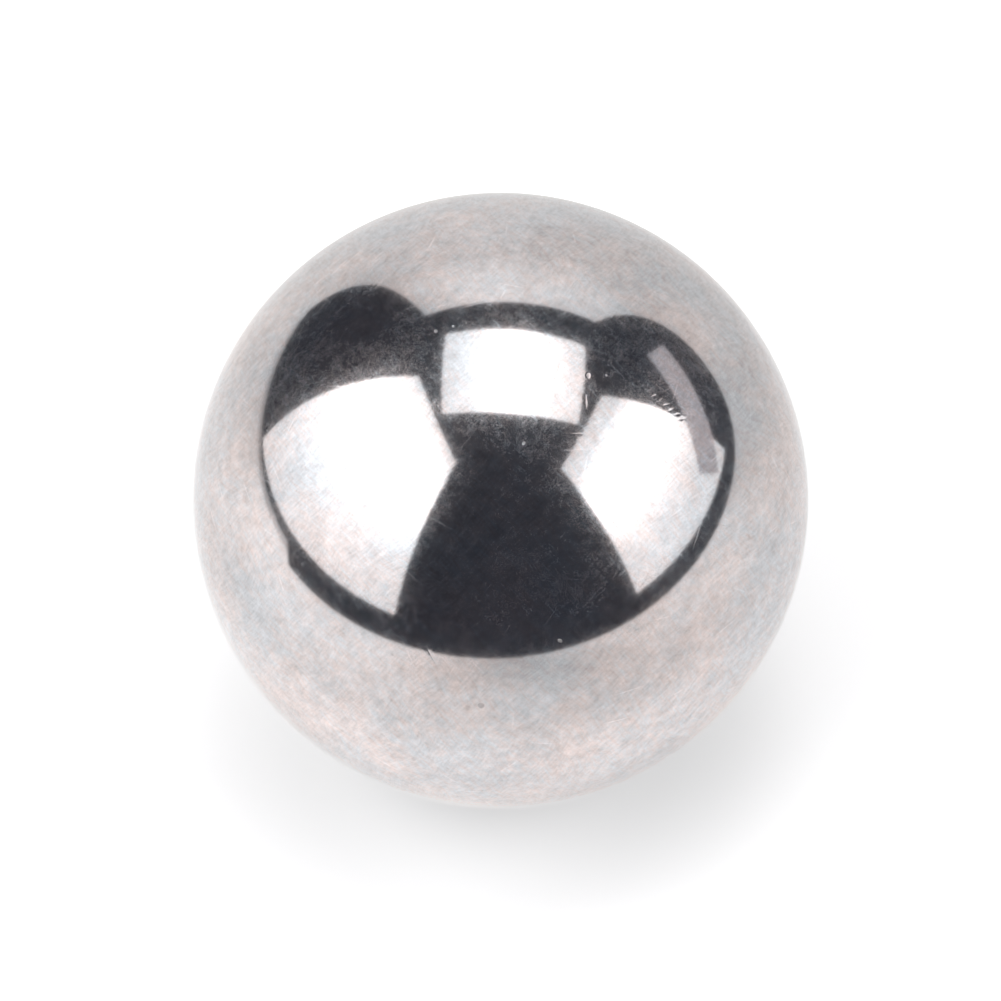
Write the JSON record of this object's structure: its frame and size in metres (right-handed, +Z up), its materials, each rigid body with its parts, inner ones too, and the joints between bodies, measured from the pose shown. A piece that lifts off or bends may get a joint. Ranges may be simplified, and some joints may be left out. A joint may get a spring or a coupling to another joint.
{
  "type": "steel ball",
  "caption": "Solid polished steel ball, a plain sphere used loose as a weight, a stop, a detent or a rolling element.",
  "frame": {"origin": "centre of the ball", "axes": "+Z up, as the ball lies on a level surface; the ball is the same about every axis, so +X and +Y are any two level directions"},
  "size_m": [0.025, 0.025, 0.025],
  "materials": {
    "polished_steel": "polished"
  },
  "bodies": {
    "root": {"ball": "polished_steel"}
  },
  "joints": []
}
